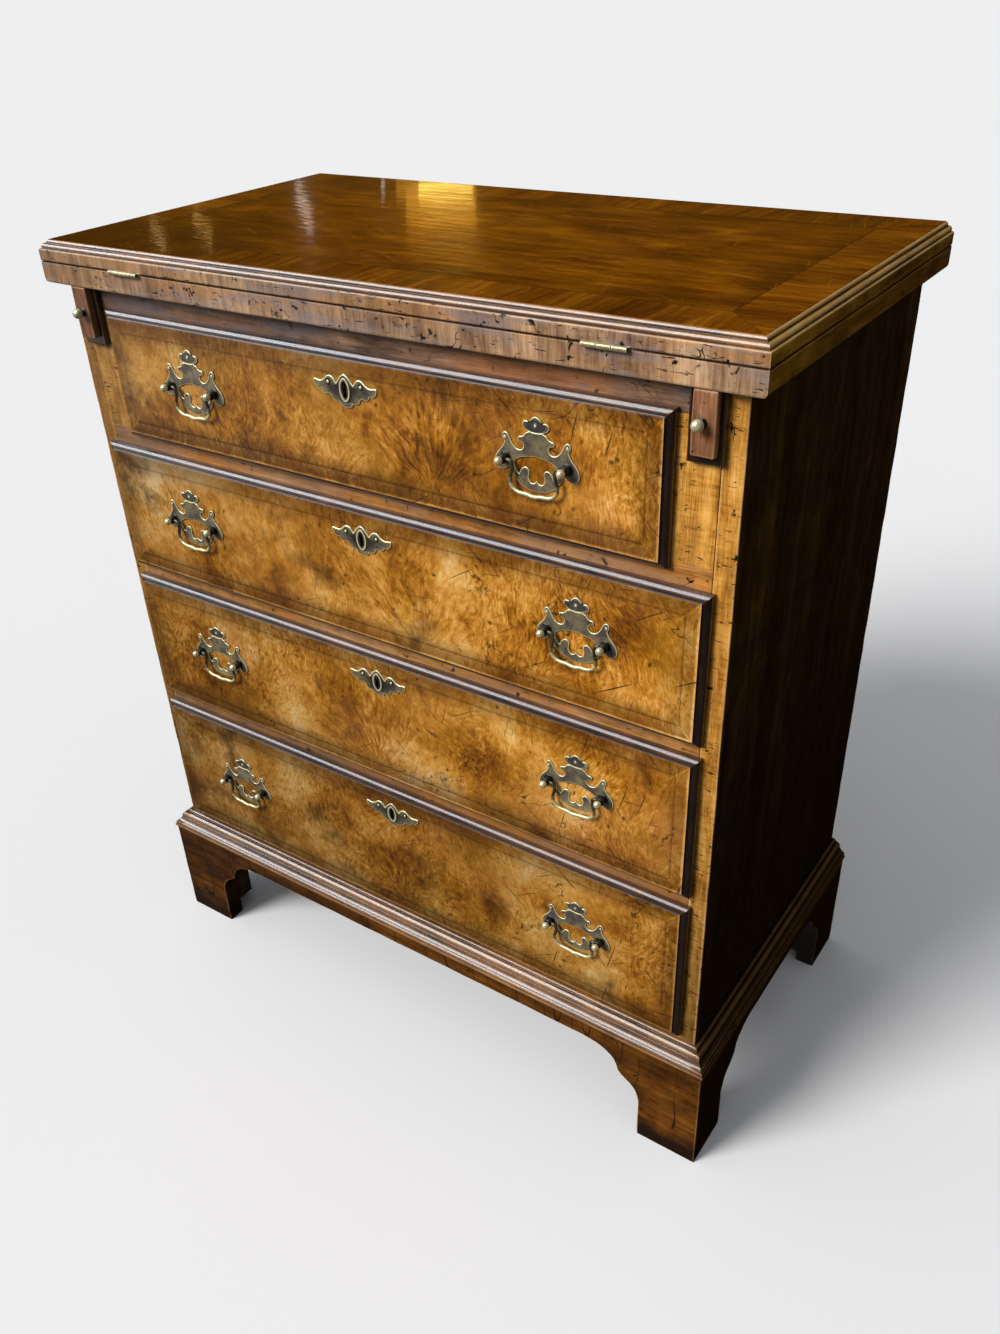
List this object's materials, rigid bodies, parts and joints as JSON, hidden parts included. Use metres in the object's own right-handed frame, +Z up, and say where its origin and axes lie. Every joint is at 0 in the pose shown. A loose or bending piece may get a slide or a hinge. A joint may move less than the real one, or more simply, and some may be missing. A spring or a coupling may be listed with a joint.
{
  "type": "bachelors chest",
  "caption": "Walnut bachelor's chest with a fold-over top on pull-out lopers, graduated lipped drawers, brass bail handles, plinth moulding and bracket feet",
  "frame": {"origin": "middle of the bounding box at floor level, handles included", "axes": "+X to the right seen from the front, +Y to the back, +Z up"},
  "size_m": [0.686, 0.375, 0.78],
  "materials": {
    "walnut_front": "polished burr walnut veneer with crossbanding",
    "walnut_top": "glossy french polish",
    "walnut_case": "polished",
    "walnut_moulding": "polished, worn",
    "walnut_side": "dark polished",
    "oak": "bare, aged",
    "pine": "bare, aged",
    "brass": "antique, worn bright on the edges",
    "lock_iron": "dull"
  },
  "bodies": {
    "carcass": {"side_panel_left": "walnut_side", "side_panel_right": "walnut_side", "bottom_board": "pine", "back_boards": "pine", "top_rail": "walnut_case", "drawer_dividers": "walnut_case", "drawer_runners": "oak", "loper_partitions": "walnut_case", "loper_runners_and_pegs": "oak", "top_kickers": "oak", "fixed_top": "walnut_top", "hinge_fixed_leaves": "brass", "hinge_pins": "brass", "plinth_moulding": "walnut_moulding", "bracket_front": "walnut_moulding", "bracket_sides": "walnut_moulding", "back_feet": "pine", "glue_blocks": "pine"},
    "top_leaf": {"folding_top": "walnut_top", "hinge_moving_leaves": "brass"},
    "left_loper": {"loper_left": "walnut_case", "loper_knob_left": "brass"},
    "right_loper": {"loper_right": "walnut_case", "loper_knob_right": "brass"},
    "drawer_1": {"drawer_1_front": "walnut_front", "drawer_1_sides_and_back": "oak", "drawer_1_bottom": "oak", "drawer_1_backplates": "brass", "drawer_1_posts": "brass", "drawer_1_escutcheon": "brass", "drawer_1_lock": "lock_iron"},
    "drawer_1_left_pull": {"drawer_1_bail_left": "brass"},
    "drawer_1_right_pull": {"drawer_1_bail_right": "brass"},
    "drawer_2": {"drawer_2_front": "walnut_front", "drawer_2_sides_and_back": "oak", "drawer_2_bottom": "oak", "drawer_2_backplates": "brass", "drawer_2_posts": "brass", "drawer_2_escutcheon": "brass", "drawer_2_lock": "lock_iron"},
    "drawer_2_left_pull": {"drawer_2_bail_left": "brass"},
    "drawer_2_right_pull": {"drawer_2_bail_right": "brass"},
    "drawer_3": {"drawer_3_front": "walnut_front", "drawer_3_sides_and_back": "oak", "drawer_3_bottom": "oak", "drawer_3_backplates": "brass", "drawer_3_posts": "brass", "drawer_3_escutcheon": "brass", "drawer_3_lock": "lock_iron"},
    "drawer_3_left_pull": {"drawer_3_bail_left": "brass"},
    "drawer_3_right_pull": {"drawer_3_bail_right": "brass"},
    "drawer_4": {"drawer_4_front": "walnut_front", "drawer_4_sides_and_back": "oak", "drawer_4_bottom": "oak", "drawer_4_backplates": "brass", "drawer_4_posts": "brass", "drawer_4_escutcheon": "brass", "drawer_4_lock": "lock_iron"},
    "drawer_4_left_pull": {"drawer_4_bail_left": "brass"},
    "drawer_4_right_pull": {"drawer_4_bail_right": "brass"}
  },
  "joints": [
    {"name": "top_fold", "type": "hinge", "parent": "carcass", "child": "top_leaf", "pos_m": [0, -0.1791, 0.7625], "axis": [1, 0, 0], "range_deg": [0, 180]},
    {"name": "left_loper_slide", "type": "slide", "parent": "carcass", "child": "left_loper", "axis": [0, -1, 0], "range_m": [0, 0.25]},
    {"name": "right_loper_slide", "type": "slide", "parent": "carcass", "child": "right_loper", "axis": [0, -1, 0], "range_m": [0, 0.25]},
    {"name": "drawer_1_slide", "type": "slide", "parent": "carcass", "child": "drawer_1", "axis": [0, -1, 0], "range_m": [0, 0.28]},
    {"name": "drawer_1_left_pull_swing", "type": "hinge", "parent": "drawer_1", "child": "drawer_1_left_pull", "pos_m": [-0.174, -0.1789, 0.6723], "axis": [-1, 0, 0], "range_deg": [0, 95]},
    {"name": "drawer_1_right_pull_swing", "type": "hinge", "parent": "drawer_1", "child": "drawer_1_right_pull", "pos_m": [0.174, -0.1789, 0.6723], "axis": [-1, 0, 0], "range_deg": [0, 95]},
    {"name": "drawer_2_slide", "type": "slide", "parent": "carcass", "child": "drawer_2", "axis": [0, -1, 0], "range_m": [0, 0.28]},
    {"name": "drawer_2_left_pull_swing", "type": "hinge", "parent": "drawer_2", "child": "drawer_2_left_pull", "pos_m": [-0.207, -0.1789, 0.5401], "axis": [-1, 0, 0], "range_deg": [0, 95]},
    {"name": "drawer_2_right_pull_swing", "type": "hinge", "parent": "drawer_2", "child": "drawer_2_right_pull", "pos_m": [0.207, -0.1789, 0.5401], "axis": [-1, 0, 0], "range_deg": [0, 95]},
    {"name": "drawer_3_slide", "type": "slide", "parent": "carcass", "child": "drawer_3", "axis": [0, -1, 0], "range_m": [0, 0.28]},
    {"name": "drawer_3_left_pull_swing", "type": "hinge", "parent": "drawer_3", "child": "drawer_3_left_pull", "pos_m": [-0.207, -0.1789, 0.3957], "axis": [-1, 0, 0], "range_deg": [0, 95]},
    {"name": "drawer_3_right_pull_swing", "type": "hinge", "parent": "drawer_3", "child": "drawer_3_right_pull", "pos_m": [0.207, -0.1789, 0.3957], "axis": [-1, 0, 0], "range_deg": [0, 95]},
    {"name": "drawer_4_slide", "type": "slide", "parent": "carcass", "child": "drawer_4", "axis": [0, -1, 0], "range_m": [0, 0.28]},
    {"name": "drawer_4_left_pull_swing", "type": "hinge", "parent": "drawer_4", "child": "drawer_4_left_pull", "pos_m": [-0.207, -0.1789, 0.234], "axis": [-1, 0, 0], "range_deg": [0, 95]},
    {"name": "drawer_4_right_pull_swing", "type": "hinge", "parent": "drawer_4", "child": "drawer_4_right_pull", "pos_m": [0.207, -0.1789, 0.234], "axis": [-1, 0, 0], "range_deg": [0, 95]}
  ]
}
